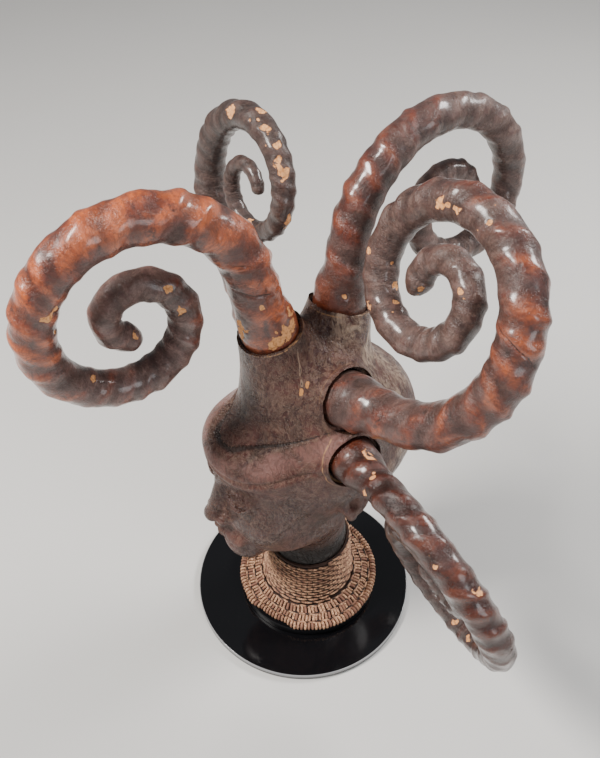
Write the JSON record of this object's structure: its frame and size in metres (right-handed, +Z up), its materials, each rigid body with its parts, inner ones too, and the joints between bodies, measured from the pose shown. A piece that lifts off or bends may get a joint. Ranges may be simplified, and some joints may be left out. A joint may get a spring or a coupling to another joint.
{
  "type": "horned crest mask on a stand",
  "caption": "Carved crest mask head covered in dark skin, with long spiral horns, on a basketry cap and a round black stand.",
  "frame": {"origin": "centre of the stand's flat underside", "axes": "+Z up, the carved face looks towards -Y, the head's left side is +X"},
  "size_m": [0.4989, 0.5311, 0.6236],
  "materials": {
    "stand": "polished black gloss with a bright edge",
    "cane": "dry twined cane, tan with dark gaps",
    "dark_skin": "carved wood under dark, worn and dusty skin",
    "varnished_skin": "red-brown varnish over lobed carving, chipped to pale wood"
  },
  "bodies": {
    "root": {"stand_disc": "stand", "stand_step": "stand", "basket_cap": "cane", "head": "dark_skin", "horn_front": "varnished_skin", "horn_right": "varnished_skin", "horn_crown": "varnished_skin", "horn_left_upper": "varnished_skin", "horn_left_lower": "varnished_skin"}
  },
  "joints": []
}
